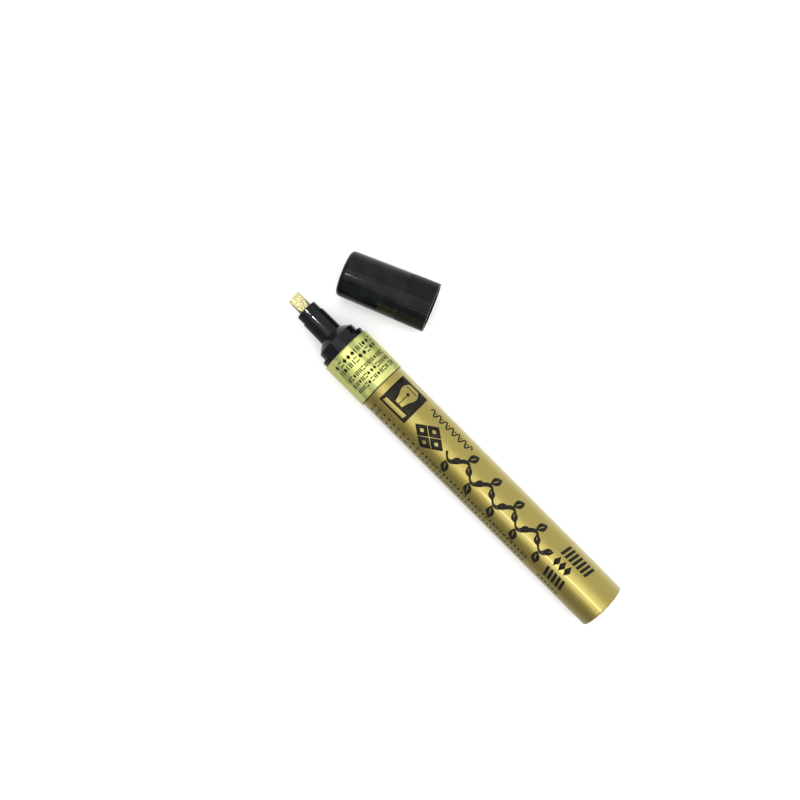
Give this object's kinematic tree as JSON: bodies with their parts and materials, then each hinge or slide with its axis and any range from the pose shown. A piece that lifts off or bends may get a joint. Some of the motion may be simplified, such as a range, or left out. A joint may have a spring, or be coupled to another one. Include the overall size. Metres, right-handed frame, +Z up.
{
  "type": "calligraphy marker",
  "caption": "Valve-action paint marker for lettering: slim metal barrel, black front section, chisel nib that presses in on a spring, and a ribbed black cap lying beside it.",
  "frame": {"origin": "centre of the barrel's closed rear face", "axes": "+X along the pen from its rear to its nib, +Z up from the surface that the pen lies on, +Y away from the cap"},
  "size_m": [0.128, 0.0413, 0.016],
  "materials": {
    "gold_lacquer": "satin",
    "grey_plastic": "satin",
    "seal_rubber": "matte",
    "black_plastic": "satin",
    "label_film": "satin",
    "natural_plastic": "satin",
    "spring_steel": "satin",
    "nib_fibre": "matte",
    "ball_steel": "polished",
    "cap_plastic": "gloss",
    "print_ink": "satin"
  },
  "bodies": {
    "pen": {"barrel": "gold_lacquer", "neck_bush": "grey_plastic", "neck_gasket": "seal_rubber", "section": "black_plastic", "seal_label": "label_film", "valve_case": "natural_plastic", "spring_retainer": "natural_plastic", "valve_spring": "spring_steel"},
    "nib_and_stem": {"nib": "nib_fibre", "valve_stem": "natural_plastic", "stem_seal": "seal_rubber"},
    "ball": {"mixing_ball": "ball_steel"},
    "cap": {"cap_shell": "cap_plastic", "cap_liner": "natural_plastic"}
  },
  "joints": [
    {"name": "nib_press", "type": "slide", "parent": "pen", "child": "nib_and_stem", "axis": [-1, 0, 0], "range_m": [0, 0.002], "stiffness_N_per_m": 500, "springref_m": -0.003, "deforming": ["valve_spring"]},
    {"name": "ball_roll", "type": "slide", "parent": "pen", "child": "ball", "axis": [1, 0, 0], "range_m": [-0.0358, 0.039]},
    {"name": "cap_lift", "type": "slide", "parent": "pen", "child": "cap", "axis": [0, 0, 1], "range_m": [0, 0.06]}
  ]
}
